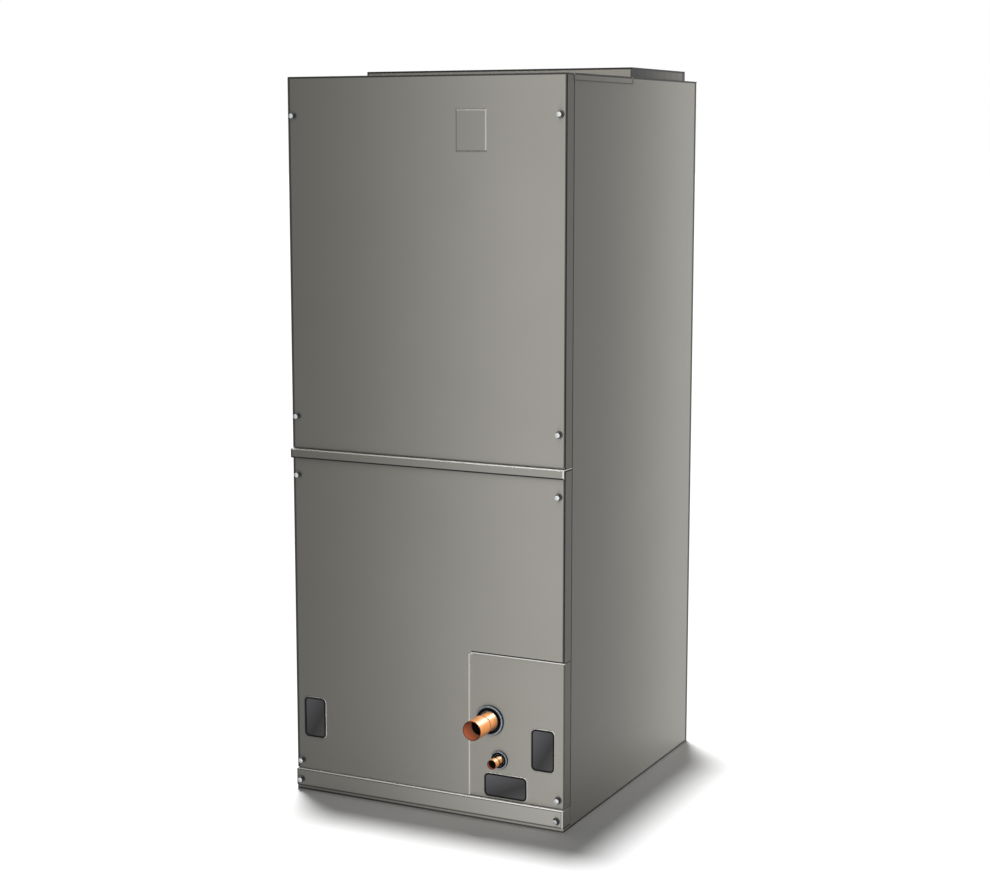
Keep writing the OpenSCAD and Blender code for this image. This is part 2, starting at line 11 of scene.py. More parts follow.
import bmesh
import bpy
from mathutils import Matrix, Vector


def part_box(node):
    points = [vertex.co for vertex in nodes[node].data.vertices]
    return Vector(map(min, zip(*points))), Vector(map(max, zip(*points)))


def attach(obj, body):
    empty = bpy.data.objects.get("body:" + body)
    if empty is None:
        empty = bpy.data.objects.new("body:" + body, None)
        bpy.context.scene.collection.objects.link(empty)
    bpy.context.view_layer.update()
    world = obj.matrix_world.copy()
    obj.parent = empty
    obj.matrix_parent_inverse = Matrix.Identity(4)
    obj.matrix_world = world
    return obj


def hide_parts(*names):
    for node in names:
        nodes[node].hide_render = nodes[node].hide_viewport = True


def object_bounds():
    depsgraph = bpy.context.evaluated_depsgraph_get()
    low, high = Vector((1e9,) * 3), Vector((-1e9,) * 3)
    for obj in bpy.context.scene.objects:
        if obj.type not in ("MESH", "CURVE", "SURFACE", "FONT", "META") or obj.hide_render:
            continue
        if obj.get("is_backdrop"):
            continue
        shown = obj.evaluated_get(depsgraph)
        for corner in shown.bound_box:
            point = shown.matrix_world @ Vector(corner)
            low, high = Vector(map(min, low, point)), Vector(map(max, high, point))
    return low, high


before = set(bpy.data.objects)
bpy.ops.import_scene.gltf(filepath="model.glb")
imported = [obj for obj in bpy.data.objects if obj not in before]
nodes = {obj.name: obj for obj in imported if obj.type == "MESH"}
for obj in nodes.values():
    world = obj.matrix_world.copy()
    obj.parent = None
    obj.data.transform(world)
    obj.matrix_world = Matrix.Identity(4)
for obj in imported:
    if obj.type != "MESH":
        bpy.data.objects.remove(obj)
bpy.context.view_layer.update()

# %% [markdown]
# ## Camera
# The picture looks at the front from the right, from about the height of the unit's top.
# A long lens keeps the box calm. The camera could stay level and use a lens shift,
# but it tips down a little instead, so views from other sides stay centred too.

# %% Camera
image_width, focal_pixels = 990, 1960.8
tip_down, turn_left = 8.689, 26.433    # degrees
camera_data = bpy.data.cameras.new("camera")
camera_data.sensor_fit = "HORIZONTAL"
camera_data.sensor_width = 36
camera_data.lens = camera_data.sensor_width * focal_pixels / image_width
camera_data.clip_end = 200
camera = bpy.data.objects.new("camera", camera_data)
camera.location = (1.4431, -2.9223, 1.0616)
camera.rotation_euler = (math.radians(90 - tip_down), 0, math.radians(turn_left))
bpy.context.scene.collection.objects.link(camera)
bpy.context.scene.camera = camera
bpy.context.scene.view_settings.view_transform = "Standard"
print("lens", round(camera_data.lens, 1), "mm")

# %% [markdown]
# ## A function for shader nodes
# Every finish below is a small graph of shader nodes. It could be drawn in the shader editor.
# In a script one small function adds a node of any kind and sets its options. Another sets the inputs
# of a node. Where an input is given another node, or one of its outputs, it makes the link.

# %% Node function and colours
def set_inputs(tree, node, inputs):
    """Sets or links the inputs of a node. Another node stands for its first output."""
    for name, value in inputs.items():
        if isinstance(value, bpy.types.Node):
            value = value.outputs[0]
        if isinstance(value, bpy.types.NodeSocket):
            tree.links.new(value, node.inputs[name])
        else:
            node.inputs[name].default_value = value


def add_node(tree, kind, inputs=None, **options):
    made = tree.nodes.new(kind)
    for name, value in options.items():
        setattr(made, name, value)
    set_inputs(tree, made, inputs or {})
    return made


def colour(hex_code):
    """Linear colour of an sRGB hex code."""
    parts = [int(hex_code[i:i + 2], 16) / 255 for i in (1, 3, 5)]
    linear = [c / 12.92 if c <= 0.04045 else ((c + 0.055) / 1.055) ** 2.4 for c in parts]
    return (*linear, 1.0)


def per_mm(size_mm):
    """Texture scale at which one feature is size_mm wide, in coordinates in metres."""
    return 1000.0 / size_mm


def new_material(name):
    material = bpy.data.materials.new(name)
    material.use_nodes = True
    tree = material.node_tree
    shader = tree.nodes["Principled BSDF"]
    place = add_node(tree, "ShaderNodeTexCoord").outputs["Object"]
    return material, tree, shader, place


# A Mix node has sockets for several kinds of data. These are the numbers of those for colours.
mix_by, mix_first, mix_second, mix_result = 0, 6, 7, 2


def mottled(tree, place, size_mm, detail, first, second):
    """A colour that wanders between two others in patches of size_mm."""
    noise = add_node(tree, "ShaderNodeTexNoise", {
        "Vector": place, "Scale": per_mm(size_mm), "Detail": detail,
    })
    return add_node(tree, "ShaderNodeMix", {
        mix_by: noise, mix_first: colour(first), mix_second: colour(second),
    }, data_type="RGBA").outputs[mix_result]


print("grey of the coat, linear:", [round(v, 3) for v in colour("#8C8A84")[:3]])

# %% [markdown]
# ## Floor and surroundings
# The unit stands on a plain pale floor that runs out to white.
# More light would make the floor white but wash out the unit. So the floor is white only where
# the camera or a shiny surface looks at it, and duller for the light that it throws back.
# The panels keep their contrast, and the shadow stays on the floor.

# %% Floor
floor_radius, floor_drop = 60, 0.0005    # metres; the drop keeps the floor clear of the base
bpy.ops.object.select_all(action="DESELECT")
bpy.ops.mesh.primitive_circle_add(
    vertices=96, radius=floor_radius, fill_type="NGON", location=(0, 0, -floor_drop)
)
floor = bpy.context.object
floor.name = "floor"
floor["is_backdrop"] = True


def looking_rays(tree):
    """1 for a ray from the camera or from a shiny or clear surface, and 0 for light that is thrown back."""
    rays = add_node(tree, "ShaderNodeLightPath").outputs
    looking = rays["Is Camera Ray"]
    for kind in ("Is Glossy Ray", "Is Transmission Ray"):
        looking = add_node(tree, "ShaderNodeMath", {0: looking, 1: rays[kind]}, operation="MAXIMUM")
    return looking


floor_paint, tree, shader, place = new_material("pale_floor_paint")
tree.nodes.remove(shader)
duller = add_node(tree, "ShaderNodeBsdfDiffuse", {"Color": colour("#6E6E6E")})
white = add_node(tree, "ShaderNodeBsdfDiffuse", {"Color": colour("#F4F4F4")})
lift = add_node(tree, "ShaderNodeEmission", {"Color": colour("#FFFFFF"), "Strength": 0.045})
pale = add_node(tree, "ShaderNodeAddShader", {0: white, 1: lift})
mixed = add_node(tree, "ShaderNodeMixShader", {0: looking_rays(tree), 1: duller, 2: pale})
set_inputs(tree, tree.nodes["Material Output"], {"Surface": mixed})
floor.data.materials.append(floor_paint)
print("floor of", floor_radius, "m radius")

# %% Surroundings
world = bpy.data.worlds.new("white_room")
bpy.context.scene.world = world
world.use_nodes = True
tree = world.node_tree
fill = add_node(tree, "ShaderNodeBackground", {"Color": colour("#FFFFFF"), "Strength": 0.12})
backdrop = add_node(tree, "ShaderNodeBackground", {"Color": colour("#FFFFFF"), "Strength": 1.0})
mixed = add_node(tree, "ShaderNodeMixShader", {0: looking_rays(tree), 1: fill, 2: backdrop})
set_inputs(tree, tree.nodes["World Output"], {"Surface": mixed})
print("surroundings:", world.name)

# %% [markdown]
# ## Light
# In the picture each face runs from dark to light along its width: the front from left to right,
# the side from front to back. A tall lamp close to one edge of a face does just that.
# The tall lamps light the unit alone, and a high soft sun gives the shadow on the floor.
# The copper stubs have two small lamps of their own, and the sun leaves them out. A tube that points
# at the viewer mirrors what is behind it, so the cool lamp for its gleam stands behind the panel,
# which doesn't block it.

# %% Tall lamps
lit_groups = ("front_lit", "side_lit", "collar_lit", "tube_lit", "sun_lit", "blockers")
lit_by = {name: bpy.data.collections.new(name) for name in lit_groups}


def soft_lamp(name, lights, place, watts, turn=0, width=0.10, height=2.6):
    """A lamp that lights one group of pieces, with its sizes in metres and its turn in degrees."""
    data = bpy.data.lights.new(name, "AREA")
    data.shape = "RECTANGLE"
    data.size = width
    data.size_y = height
    data.energy = watts
    lamp = bpy.data.objects.new(name, data)
    lamp.location = place
    lamp.rotation_euler = (math.radians(90), 0, math.radians(turn))
    lamp.visible_camera = False
    lamp.visible_glossy = False
    bpy.context.scene.collection.objects.link(lamp)
    lamp.light_linking.receiver_collection = lit_by[lights]
    lamp.light_linking.blocker_collection = lit_by["blockers"]
    return lamp


half_height = 0.58    # metres, half the height of the cabinet
soft_lamp("front_lamp", "front_lit", (0.250, -0.66, half_height), 7.2)
soft_lamp("right_lamp", "side_lit", (0.612, 0.300, half_height), 6.0, turn=90)
soft_lamp("left_lamp", "front_lit", (-0.80, 0.10, half_height), 8, turn=-90, width=0.3)
soft_lamp("back_lamp", "front_lit", (0.0, 0.90, half_height), 9, turn=180, width=0.3)
soft_lamp("collar_lamp", "collar_lit", (0.25, -0.55, 1.25), 2.2, width=0.3, height=0.5)
print("groups of lit pieces:", len(lit_by))

# %% Lamps for the copper
stubs_middle = Vector((0.12, -0.295, 0.15))
cool_light = (0.45, 0.72, 1.0)
tube_lamp = soft_lamp("tube_lamp", "tube_lit", (0.330, -0.275, 0.37), 1.3, width=0.05, height=0.05)
gleam_lamp = soft_lamp("gleam_lamp", "tube_lit", (0.205, 0.05, 0.36), 1.8, width=0.15, height=0.08)
gleam_lamp.data.color = cool_light
gleam_lamp.data.cycles.use_multiple_importance_sampling = False
gleam_lamp.visible_glossy = True
gleam_lamp.light_linking.blocker_collection = lit_by["tube_lit"]
for lamp in (tube_lamp, gleam_lamp):
    lamp.data.cycles.max_bounces = 0
    lamp.rotation_euler = (stubs_middle - lamp.location).to_track_quat("-Z", "Y").to_euler()
print("gleam lamp", round(1000 * (stubs_middle - gleam_lamp.location).length), "mm from the stubs")

# %% Sun
sun_way = Vector((0.08, -0.095, -1.0))
sun_data = bpy.data.lights.new("soft_sun", "SUN")
sun_data.energy = 3.3
sun_data.angle = math.radians(5)
sun = bpy.data.objects.new("soft_sun", sun_data)
sun.rotation_euler = sun_way.to_track_quat("-Z", "Y").to_euler()
bpy.context.scene.collection.objects.link(sun)
sun.light_linking.receiver_collection = lit_by["sun_lit"]
lit_by["sun_lit"].objects.link(floor)

# %% [markdown]
# ## Powder coat on steel
# The cabinet is mild steel with a baked polyester powder coat, satin and warm grey.
# Powder flows out to a faint orange peel, so the colour is even but the shine is a little broken.
# The peel is drawn at 4 mm, coarser than the real 1.5 mm, because finer would not show here.
# Along sharp edges a painted highlight makes the coat pale, and painted shade darkens the folds that face a
# gap.
# These painted edges could come from a bevel node, but the exported model would lose them. So each piece
# stores them in a face attribute named tone: above zero is painted highlight, below zero is painted shade.

# %% Powder coat
# On the coat and the screws the colour for tone 1 is a painted highlight and the one for -1 painted shade.
def add_tone(tree, plain, tone_up, dark):
    """Mixes a plain colour with the colours for tone 1 and -1, by the piece's own tone attribute."""
    tone = add_node(tree, "ShaderNodeAttribute", attribute_name="tone").outputs["Fac"]
    toned = plain
    for full_tone, edge_colour in ((1.0, tone_up), (-1.0, dark)):
        amount = add_node(tree, "ShaderNodeMapRange", {
            "Value": tone, "From Min": 0.0, "From Max": full_tone,
        })
        toned = add_node(tree, "ShaderNodeMix", {
            mix_by: amount, mix_first: toned, mix_second: colour(edge_colour),
        }, data_type="RGBA").outputs[mix_result]
    return toned


coat, tree, shader, place = new_material("powder_coat_satin_grey")
plain = mottled(tree, place, 180, 3.0, "#888680", "#908E88")
peel = add_node(tree, "ShaderNodeTexNoise", {"Vector": place, "Scale": per_mm(4), "Detail": 2.0})
shine = add_node(tree, "ShaderNodeMapRange", {"Value": peel, "To Min": 0.40, "To Max": 0.50})
bump = add_node(tree, "ShaderNodeBump", {"Height": peel, "Strength": 0.12, "Distance": 0.0002})
# The pale edge colour is painted highlight, the dark one painted shade.
set_inputs(tree, shader, {
    "Base Color": add_tone(tree, plain, "#F2F1EC", "#1E1F20"), "Roughness": shine,
    "Normal": bump, "Specular IOR Level": 0.18,
})
print("made", coat.name)

# %% [markdown]
# ## Galvanised steel
# The inner sheets are hot dip galvanised. The zinc freezes in large crystals, the spangle,
# and each one reflects a little differently. Noise would look cloudy. Cells about 7 mm wide have
# the straight borders of crystals, and each cell gets its own grey and its own shine.

# %% Galvanised steel
zinc_sheet, tree, shader, place = new_material("galvanised_spangle_steel")
spangle = add_node(tree, "ShaderNodeTexVoronoi", {"Vector": place, "Scale": per_mm(7)})
crystal = add_node(tree, "ShaderNodeSeparateColor", {"Color": spangle.outputs["Color"]})
greys = add_node(tree, "ShaderNodeMix", {
    mix_by: crystal.outputs[0], mix_first: colour("#8F9396"), mix_second: colour("#B4B8BA"),
}, data_type="RGBA")
shine = add_node(tree, "ShaderNodeMapRange", {
    "Value": crystal.outputs[1], "To Min": 0.38, "To Max": 0.58,
})
set_inputs(tree, shader, {"Base Color": greys.outputs[mix_result], "Roughness": shine, "Metallic": 0.85})
print("made", zinc_sheet.name)

# %% [markdown]
# ## Copper tube
# The stubs are drawn copper with swaged ends. Drawing leaves fine lines along the tube,
# and handling leaves browner patches of oxide. Inside the socket the oxide is dull and darkens with depth,
# as painted shade, and the tube behind it is painted black as shade. A painted shade ring marks where the
# socket is swaged out. The tone attribute says where: 1 is oxide, 2 is oxide under painted shade and -1 is
# black.
# One material with an attribute keeps each stub a single closed mesh.

# %% Copper colour
copper, tree, shader, place = new_material("drawn_copper_tube")
patches = add_node(tree, "ShaderNodeTexNoise", {"Vector": place, "Scale": per_mm(14), "Detail": 4.0})
spread = add_node(tree, "ShaderNodeMapRange", {"Value": patches, "From Min": 0.35, "From Max": 0.75})
plain = add_node(tree, "ShaderNodeMix", {
    mix_by: spread, mix_first: colour("#EA9A5A"), mix_second: colour("#D48242"),
}, data_type="RGBA").outputs[mix_result]
# Oxide colour at tone 1, and black painted shade at -1.
oxide_and_shade = add_tone(tree, plain, "#965034", "#050404")
depth = add_node(tree, "ShaderNodeAttribute", attribute_name="tone").outputs["Fac"]
# Above tone 1 the oxide darkens towards brown-black, painted shade deeper in the socket.
depth_shade = add_node(tree, "ShaderNodeMapRange", {"Value": depth, "From Min": 1.0, "From Max": 2.0})
shaded_oxide = add_node(tree, "ShaderNodeMix", {
    mix_by: depth_shade, mix_first: oxide_and_shade, mix_second: colour("#352A23"),
}, data_type="RGBA")
print("made the colour of", copper.name)

# %% Copper shine
along = add_node(tree, "ShaderNodeMapping", {"Vector": place, "Scale": (1.0, 0.08, 1.0)})
lines = add_node(tree, "ShaderNodeTexNoise", {"Vector": along, "Scale": per_mm(1.2), "Detail": 2.0})
shine = add_node(tree, "ShaderNodeMapRange", {"Value": lines, "To Min": 0.42, "To Max": 0.50})
covered = add_node(tree, "ShaderNodeMath", {0: depth}, operation="ABSOLUTE", use_clamp=True)
rough = add_node(tree, "ShaderNodeMapRange", {"Value": covered, "To Min": shine, "To Max": 0.85})
metal = add_node(tree, "ShaderNodeMapRange", {"Value": covered, "To Min": 0.4, "To Max": 0.0})
bump = add_node(tree, "ShaderNodeBump", {"Height": lines, "Strength": 0.05, "Distance": 0.0001})
set_inputs(tree, shader, {
    "Base Color": shaded_oxide.outputs[mix_result], "Roughness": rough,
    "Metallic": metal, "Normal": bump,
})
print("made", copper.name)

# %% [markdown]
# ## Rubber and plastic
# The grommets are moulded EPDM rubber: black, with grey painted highlights on their two beads.
# Their tone attribute is the distance from the middle, so a colour ramp can draw the beads.
# The drain covers are injection moulded ABS in charcoal with a fine spark grain. Each face gets a painted
# sheen, lighter and darker bands across its diagonal. Noise would be too blotchy for that,
# so each cover stores its way along the diagonal in a point attribute, and a ramp reads it.
# The bezels are smooth black ABS with a few wiped patches, a bit glossier than the covers.

# %% Rubber
rubber, tree, shader, place = new_material("moulded_epdm_rubber")
from_middle = add_node(tree, "ShaderNodeAttribute", attribute_name="tone").outputs["Fac"]
bead_highlights = add_node(tree, "ShaderNodeValToRGB", {"Fac": from_middle})
ramp = bead_highlights.color_ramp.elements
ramp[0].position, ramp[0].color = 0.60, colour("#060607")
ramp[1].position, ramp[1].color = 1.00, colour("#22323E")
# The grey rings are painted highlights on the beads.
for position, grey in (
    (0.635, "#757A81"), (0.67, "#050506"), (0.84, "#060607"),
    (0.90, "#777E85"), (0.945, "#AEB4BA"), (0.975, "#55616B"),
):
    ramp.new(position).color = colour(grey)
bloom = add_node(tree, "ShaderNodeTexNoise", {"Vector": place, "Scale": per_mm(6), "Detail": 4.0})
fade = add_node(tree, "ShaderNodeMapRange", {
    "Value": bloom, "From Min": 0.3, "From Max": 0.7, "To Min": 0.0, "To Max": 0.35,
})
faded = add_node(tree, "ShaderNodeMix", {
    mix_by: fade, mix_first: bead_highlights, mix_second: colour("#0A0A0C"),
}, data_type="RGBA")
shine = add_node(tree, "ShaderNodeMapRange", {"Value": bloom, "To Min": 0.22, "To Max": 0.38})
set_inputs(tree, shader, {
    "Base Color": faded.outputs[mix_result], "Roughness": shine,
    "Specular IOR Level": 0.05,
})
print("made", rubber.name)

# %% Plastic
plastic, tree, shader, place = new_material("spark_grained_abs_charcoal")
# The ramp is a painted sheen: lighter and darker bands across each cover's diagonal.
along_sheen = add_node(tree, "ShaderNodeAttribute", attribute_name="sheen_way").outputs["Fac"]
sheen_ramp = add_node(tree, "ShaderNodeValToRGB", {"Fac": along_sheen})
ramp = sheen_ramp.color_ramp.elements
ramp[0].position, ramp[0].color = 0.10, colour("#58585B")
ramp[1].position, ramp[1].color = 0.95, colour("#4B494A")
ramp.new(0.62).color = colour("#333334")
# Each cover's tone scales its colour, a painted lightening or darkening.
painted_light_gain = add_node(tree, "ShaderNodeAttribute", attribute_name="tone").outputs["Fac"]
gain = add_node(tree, "ShaderNodeMath", {0: painted_light_gain, 1: 1.0}, operation="ADD")
painted_light_colour = add_node(tree, "ShaderNodeVectorMath", {0: sheen_ramp, "Scale": gain}, operation="SCALE")
grain = add_node(tree, "ShaderNodeTexNoise", {"Vector": place, "Scale": per_mm(1.4), "Detail": 2.0})
bump = add_node(tree, "ShaderNodeBump", {"Height": grain, "Strength": 0.2, "Distance": 0.0001})
set_inputs(tree, shader, {
    "Base Color": painted_light_colour, "Normal": bump,
    "Roughness": 0.42, "Specular IOR Level": 0.2,
})
print("made", plastic.name)

# %% Black plastic
black_plastic, tree, shader, place = new_material("smooth_black_abs")
set_inputs(tree, shader, {
    "Base Color": mottled(tree, place, 9, 3.0, "#060607", "#141416"),
    "Roughness": 0.35, "Specular IOR Level": 0.12,
})
print("made", black_plastic.name)

# %% [markdown]
# ## Foil, card and filter cloth
# The plenum is lined with glass fibre faced with foil. A thin net of threads lies under the foil
# and shows through as a 12 mm grid, and the cut edge shows the yellow fibre.
# An image could hold the grid, but folding the coordinates back and forth draws it at its true size.
# The filter is pleated non-woven cloth in a card border, and both are matt with a fibrous mottle.

# %% Net under the foil
thread_gap, thread_width = 0.012, 0.0012    # metres
foil, tree, shader, place = new_material("scrim_backed_foil")
axes = add_node(tree, "ShaderNodeSeparateXYZ", {"Vector": place}).outputs
around = add_node(tree, "ShaderNodeMath", {0: axes["X"], 1: axes["Y"]}, operation="ADD")
across = add_node(tree, "ShaderNodeMath", {0: around, 1: thread_gap / 2}, operation="PINGPONG")
upward = add_node(tree, "ShaderNodeMath", {0: axes["Z"], 1: thread_gap / 2}, operation="PINGPONG")
nearest = add_node(tree, "ShaderNodeMath", {0: across, 1: upward}, operation="MINIMUM")
net = add_node(tree, "ShaderNodeMapRange", {"Value": nearest, "From Min": thread_width, "From Max": 0.0})
print("threads every", 1000 * thread_gap, "mm")

# %% Foil
crinkle = add_node(tree, "ShaderNodeTexNoise", {
    "Vector": place, "Scale": per_mm(22), "Detail": 6.0, "Roughness": 0.65,
})
relief = add_node(tree, "ShaderNodeMath", {0: net, 1: 0.3, 2: crinkle}, operation="MULTIPLY_ADD")
bump = add_node(tree, "ShaderNodeBump", {"Height": relief, "Strength": 0.5, "Distance": 0.002})
plain = add_node(tree, "ShaderNodeMix", {
    mix_by: net, mix_first: colour("#C9CCCE"), mix_second: colour("#9C9FA1"),
}, data_type="RGBA").outputs[mix_result]
cut_edge = add_node(tree, "ShaderNodeAttribute", attribute_name="tone").outputs["Fac"]
metal = add_node(tree, "ShaderNodeMapRange", {"Value": cut_edge, "To Min": 0.9, "To Max": 0.0})
rough = add_node(tree, "ShaderNodeMapRange", {"Value": cut_edge, "To Min": 0.36, "To Max": 0.95})
set_inputs(tree, shader, {
    "Base Color": add_tone(tree, plain, "#CDB873", "#CDB873"), "Normal": bump,
    "Metallic": metal, "Roughness": rough,
})
print("made", foil.name)

# %% Card
card, tree, shader, place = new_material("filter_border_card")
set_inputs(tree, shader, {
    "Base Color": mottled(tree, place, 3, 5.0, "#A99678", "#CDBB9C"), "Roughness": 0.85,
})
print("made", card.name)

# %% Filter cloth
cloth, tree, shader, place = new_material("pleated_filter_cloth")
fibres = add_node(tree, "ShaderNodeTexNoise", {
    "Vector": place, "Scale": per_mm(2.5), "Detail": 6.0, "Roughness": 0.7,
})
mottle = add_node(tree, "ShaderNodeMix", {
    mix_by: fibres, mix_first: colour("#D3D6D4"), mix_second: colour("#F0F1EF"),
}, data_type="RGBA")
bump = add_node(tree, "ShaderNodeBump", {"Height": fibres, "Strength": 0.6, "Distance": 0.0005})
set_inputs(tree, shader, {"Base Color": mottle.outputs[mix_result], "Normal": bump, "Roughness": 0.95})
print("made", cloth.name)

# %% [markdown]
# ## Screws and motor
# The screws are steel with bright zinc plate, smoother than the galvanised sheet.
# The flanks of their heads and the washers are darkened with painted shade.
# The motor has black stoving enamel, a semi-gloss paint that pools a little as it bakes.
# Both finishes are thin films, so faint noise in the colour is enough and neither needs a bump.

# %% Zinc plate
zinc_plate, tree, shader, place = new_material("bright_zinc_plate")
plain = mottled(tree, place, 2, 2.0, "#C4C7C9", "#ECEEED")
# The dark colour is painted shade on the head's flanks and the washer.
set_inputs(tree, shader, {
    "Base Color": add_tone(tree, plain, "#F0F0EE", "#18191B"), "Metallic": 0.7, "Roughness": 0.24,
})
print("made", zinc_plate.name)

# %% Enamel
enamel, tree, shader, place = new_material("black_stoving_enamel")
set_inputs(tree, shader, {
    "Base Color": mottled(tree, place, 5, 2.0, "#161618", "#232326"), "Roughness": 0.4,
})
print("made", enamel.name)

# %% [markdown]
# ## From CAD node to finished piece
# A CAD node is a bag of loose triangles with sharp edges. Its copy is merged into whole faces first.
# A bevel modifier could round every edge, but it would eat up the thin sheet.
# So the few edges that show round are picked by their angle and place, and a bevel rounds those.
# The edges of the sheet stay crisp.

# %% Helpers for the copies
def box_mm(node):
    """Lowest and highest corner of a CAD node, in mm."""
    return [1000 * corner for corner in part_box(node)]


def only(piece):
    """Selects one piece and nothing else, in object mode."""
    if bpy.context.object and bpy.context.object.mode != "OBJECT":
        bpy.ops.object.mode_set(mode="OBJECT")
    bpy.ops.object.select_all(action="DESELECT")
    piece.select_set(True)
    bpy.context.view_layer.objects.active = piece


def merged_copy(node):
    piece = bpy.data.objects.new(node + "_piece", nodes[node].data.copy())
    bpy.context.scene.collection.objects.link(piece)
    piece.data.materials.clear()
    only(piece)
    bpy.ops.mesh.customdata_custom_splitnormals_clear()
    bpy.ops.object.mode_set(mode="EDIT")
    bpy.ops.mesh.select_all(action="SELECT")
    bpy.ops.mesh.remove_doubles(threshold=0.000005)
    bpy.ops.mesh.dissolve_limited(angle_limit=math.radians(0.3))
    bpy.ops.object.mode_set(mode="OBJECT")
    return piece


print("copies are made from", len(nodes), "nodes")

# %% Helper for round edges
def round_edges(piece, radius, chosen, segments=3):
    """Bevels the outward edges for which chosen(edge, its middle in mm) is true, and counts them."""
    only(piece)
    bpy.ops.object.mode_set(mode="EDIT")
    bpy.ops.mesh.select_mode(type="EDGE")
    bpy.ops.mesh.select_all(action="DESELECT")
    shape = bmesh.from_edit_mesh(piece.data)
    count = 0
    for edge in shape.edges:
        middle = 1000 * (edge.verts[0].co + edge.verts[1].co) / 2
        if edge.is_manifold and edge.is_convex and chosen(edge, middle):
            edge.select_set(True)
            count += 1
    bmesh.update_edit_mesh(piece.data)
    if count:
        bpy.ops.mesh.bevel(
            offset=radius / 1000, segments=segments, profile=0.5, affect="EDGES", clamp_overlap=True
        )
    bpy.ops.object.mode_set(mode="OBJECT")
    return count


sharp_fold = 1.0    # radians between the two faces of an edge, above which it is sharp
near = 0.05         # mm within which a place counts as the same
print("edges over", round(math.degrees(sharp_fold)), "degrees count as sharp")

# %% Helpers for tones
def cut_line(piece, *planes):
    """Divides the faces along planes, each an axis letter and a place in mm; the shape stays."""
    only(piece)
    bpy.ops.object.mode_set(mode="EDIT")
    for axis, place in planes:
        normal = Vector([float(axis == letter) for letter in "xyz"])
        bpy.ops.mesh.select_all(action="SELECT")
        bpy.ops.mesh.bisect(plane_co=normal * place / 1000, plane_no=normal)
    bpy.ops.object.mode_set(mode="OBJECT")


def mark(piece, *rows):
    """Writes the tone attribute. A row is a tone and a test, chosen(normal, centre in mm)."""
    tone = piece.data.attributes.get("tone") or piece.data.attributes.new("tone", "FLOAT", "FACE")
    count = 0
    for value, chosen in rows:
        for face in piece.data.polygons:
            if chosen(face.normal, 1000 * face.center):
                tone.data[face.index].value = value
                count += 1
    return count


flat = 0.9    # a face looks along an axis if its normal reaches further than this along it
print("faces within", round(math.degrees(math.acos(flat))), "degrees of an axis look along it")

# %% Helper for the finish
def finish_piece(piece, material, replaced=None, smooth=35):
    """Shades a piece, gives it its material and its body, hides the node it replaces, and puts it in its
    lamps' groups.
    """
    only(piece)
    bpy.ops.object.shade_smooth_by_angle(angle=math.radians(smooth))
    bpy.ops.object.modifier_add(type="WEIGHTED_NORMAL")
    piece.modifiers[-1].keep_sharp = True
    bpy.ops.object.modifier_apply(modifier=piece.modifiers[-1].name)
    piece.data.materials.append(material)
    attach(piece, "root")
    if replaced:
        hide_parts(replaced)
    groups = ("tube_lit",) if material == copper else ("blockers", "front_lit", "side_lit", "sun_lit")
    if replaced == "supply_collar":
        groups += ("collar_lit",)
    for group in groups:
        lit_by[group].objects.link(piece)


print("ready to dress the pieces")

# %% [markdown]
# ## Cabinet
# Sides, back and base frame are plain folded sheet whose round folds are already in the CAD model.
# The rear folds, the top and the foot get dark lines of painted shade. It could be painted on by hand.
# Here each face carries one tone, so a copy is first divided along the lines where its tone changes.

# %% Sides and back
edge_strip, rear_strip, door_strip = 3.0, 10.5, 1.5    # mm of painted shade lines: top and foot, rear, by the door
# Painted shade: dark lines on the folds, the rear edge, the seam below the door, the top and the foot.
painted_fold_shade, painted_rear_shade, painted_seam_shade, painted_edge_shade = -0.8, -0.88, -0.5, -0.9
door_line = box_mm("right_side_panel")[0].y + door_strip
panel_foot = box_mm("lower_front_panel")[0].z


def by_door(normal, centre):
    return abs(normal.x) > flat and centre.y < door_line and centre.z < panel_foot


for node in ("left_side_panel", "right_side_panel", "back_panel"):
    rear_line = box_mm(node)[1].y - rear_strip
    top_line = box_mm(node)[1].z - edge_strip
    piece = merged_copy(node)
    cut_line(piece, ("z", edge_strip), ("z", top_line), ("y", rear_line), ("z", panel_foot), ("y", door_line))
    shaded = mark(
        piece,
        (painted_fold_shade, lambda normal, centre: abs(normal.x) > 0.2 and abs(normal.y) > 0.15),
        (painted_rear_shade, lambda normal, centre: abs(normal.x) > flat and centre.y > rear_line),
        (painted_seam_shade, by_door),
        (painted_edge_shade, lambda normal, centre: abs(normal.z) < 0.5 and not edge_strip < centre.z < top_line),
    )
    finish_piece(piece, coat, node)
    print(node, "dusty faces:", shaded)

# %% Base frame
# Painted shade lines along the foot and the top of the base frame.
base_strip, painted_base_shade = 2.0, -0.85
base_line = box_mm("base_frame")[1].z - base_strip
piece = merged_copy("base_frame")
cut_line(piece, ("z", edge_strip), ("z", base_line))
shaded = mark(piece, (
    painted_base_shade, lambda normal, centre: abs(normal.z) < 0.5 and not edge_strip < centre.z < base_line
))
finish_piece(piece, coat, "base_frame")
print("base frame dusty faces:", shaded)

# %% Top cover
lip_sheet, lip_strip, lip_tail = 1.3, 1.2, 7.0    # mm: the sheet, and painted shade at foot and rear end
# Painted shade lines along the lip's foot and its rear end.
painted_lip_shade, painted_tail_shade = -0.7, -0.5
low, high = box_mm("top_cover")
top_line, lip_line, tail_line = high.z - edge_strip, low.z + lip_strip, high.y - lip_tail
piece = merged_copy("top_cover")
cut_line(piece, ("z", top_line), ("z", lip_line), ("y", tail_line))


def on_lip_edge(normal, centre):
    return abs(centre.x) > high.x - lip_sheet and (abs(normal.y) > 0.3 or centre.z < lip_line)


def on_lip_tail(normal, centre):
    return abs(normal.x) > flat and abs(centre.x) > high.x - 2 * near and centre.y > tail_line


shaded = mark(
    piece,
    (painted_edge_shade, lambda normal, centre: abs(normal.x) > 0.5 and centre.z > top_line),
    (painted_lip_shade, on_lip_edge),
    (painted_tail_shade, on_lip_tail),
)
finish_piece(piece, coat, "top_cover")
print("top cover dusty faces:", shaded)
